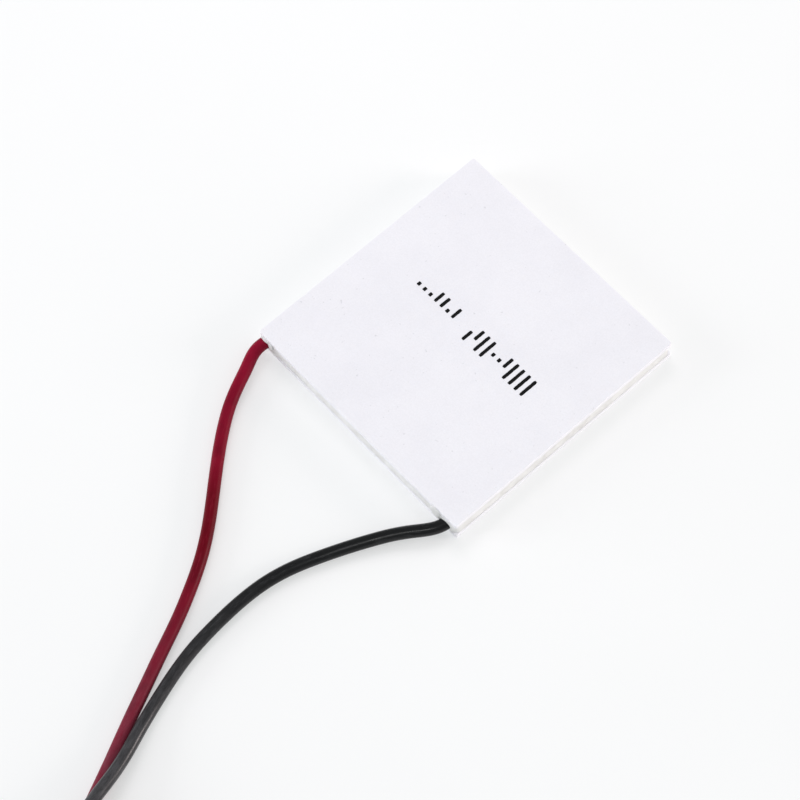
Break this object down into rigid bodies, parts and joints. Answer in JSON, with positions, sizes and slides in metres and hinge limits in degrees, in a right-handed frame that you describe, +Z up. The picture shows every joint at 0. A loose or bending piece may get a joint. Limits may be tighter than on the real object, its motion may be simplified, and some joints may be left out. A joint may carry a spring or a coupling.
{
  "type": "thermoelectric cooling module",
  "caption": "Flat square Peltier cooler: bismuth telluride pellets and copper tabs sealed between white ceramic plates, with a red and a black lead soldered in at one side.",
  "frame": {"origin": "centre of the hot plate's underside, at the height of the surface that the module lies on", "axes": "+Z up, from the hot face to the cold face; the leads leave on the -Y side, red at -X and black at +X"},
  "size_m": [0.0713, 0.1189, 0.0044],
  "materials": {
    "ceramic": "matt, fired alumina",
    "silicone": "satin, cured silicone",
    "copper": "bright bare copper",
    "n_type_telluride": "dull grey, sawn",
    "p_type_telluride": "dull dark grey, sawn",
    "solder": "bright solder",
    "tinned_copper": "bright tinned strands",
    "red_insulation": "soft satin insulation",
    "black_insulation": "soft satin insulation",
    "tie_plastic": "matt coating over a wire core"
  },
  "bodies": {
    "root": {"hot_plate": "ceramic", "cold_plate": "ceramic", "rim_seal": "silicone", "hot_tabs": "copper", "cold_tabs": "copper", "red_pad": "copper", "black_pad": "copper", "red_wire_end": "tinned_copper", "black_wire_end": "tinned_copper", "red_solder_joint": "solder", "black_solder_joint": "solder", "red_lead": "red_insulation", "black_lead": "black_insulation", "red_coil": "red_insulation", "black_coil": "black_insulation", "red_tip": "tinned_copper", "black_tip": "tinned_copper", "coil_tie": "tie_plastic", "n_pellets_row_01": "n_type_telluride", "n_pellets_row_02": "n_type_telluride", "n_pellets_row_03": "n_type_telluride", "n_pellets_row_04": "n_type_telluride", "n_pellets_row_05": "n_type_telluride", "n_pellets_row_06": "n_type_telluride", "n_pellets_row_07": "n_type_telluride", "n_pellets_row_08": "n_type_telluride", "n_pellets_row_09": "n_type_telluride", "n_pellets_row_10": "n_type_telluride", "n_pellets_row_11": "n_type_telluride", "n_pellets_row_12": "n_type_telluride", "n_pellets_row_13": "n_type_telluride", "n_pellets_row_14": "n_type_telluride", "n_pellets_row_15": "n_type_telluride", "n_pellets_row_16": "n_type_telluride", "p_pellets_row_01": "p_type_telluride", "p_pellets_row_02": "p_type_telluride", "p_pellets_row_03": "p_type_telluride", "p_pellets_row_04": "p_type_telluride", "p_pellets_row_05": "p_type_telluride", "p_pellets_row_06": "p_type_telluride", "p_pellets_row_07": "p_type_telluride", "p_pellets_row_08": "p_type_telluride", "p_pellets_row_09": "p_type_telluride", "p_pellets_row_10": "p_type_telluride", "p_pellets_row_11": "p_type_telluride", "p_pellets_row_12": "p_type_telluride", "p_pellets_row_13": "p_type_telluride", "p_pellets_row_14": "p_type_telluride", "p_pellets_row_15": "p_type_telluride", "p_pellets_row_16": "p_type_telluride"}
  },
  "joints": []
}
